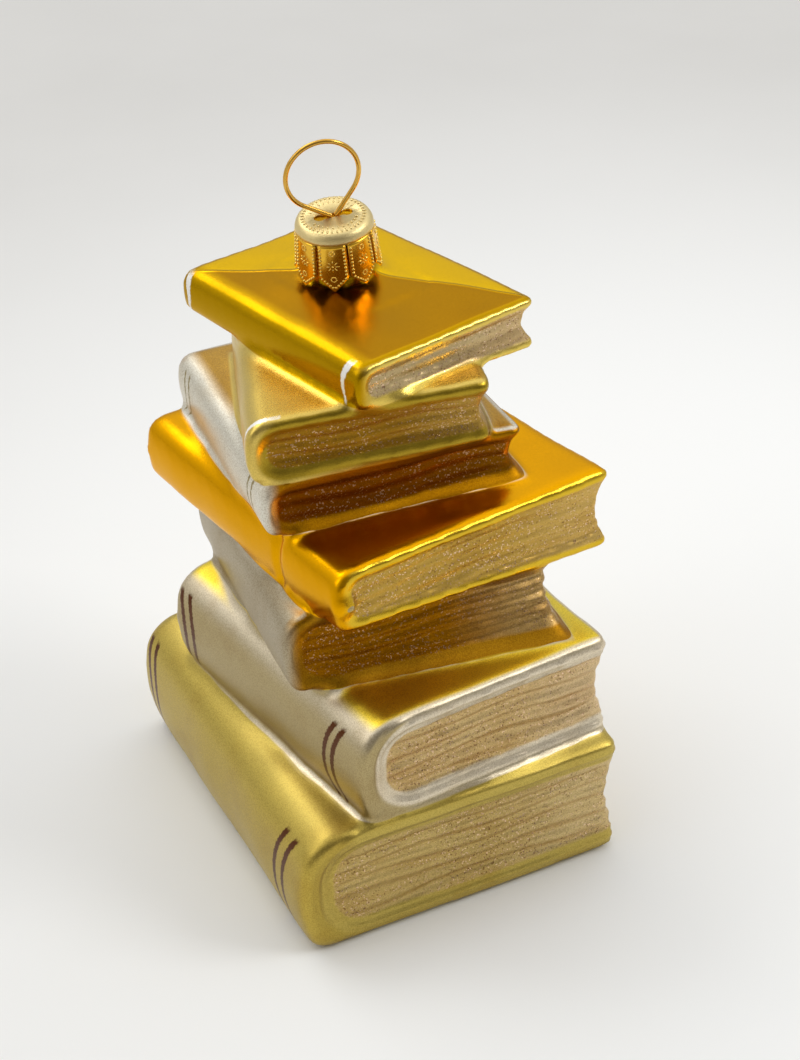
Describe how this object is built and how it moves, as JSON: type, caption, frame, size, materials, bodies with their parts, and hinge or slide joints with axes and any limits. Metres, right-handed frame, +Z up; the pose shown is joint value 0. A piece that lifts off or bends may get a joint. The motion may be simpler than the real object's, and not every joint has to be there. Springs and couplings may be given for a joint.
{
  "type": "hanging stack-of-books ornament",
  "caption": "Hollow blown-glass hanging ornament in the shape of a leaning stack of books, with a crown cap and a wire hanging loop.",
  "frame": {"origin": "middle of the flat base of the bottom book", "axes": "+Z up through the stack to the loop, -X towards the spine of the bottom book, -Y towards its tail"},
  "size_m": [0.0654, 0.0735, 0.1228],
  "materials": {
    "lacquered_glass": "silvered and lacquered, satin and gloss, opaque",
    "gilt_cap": "stamped, gilt, frosted top",
    "gilt_wire": "bright drawn wire"
  },
  "bodies": {
    "root": {"glass_body": "lacquered_glass", "crown_cap": "gilt_cap", "wire_hanger": "gilt_wire"}
  },
  "joints": []
}
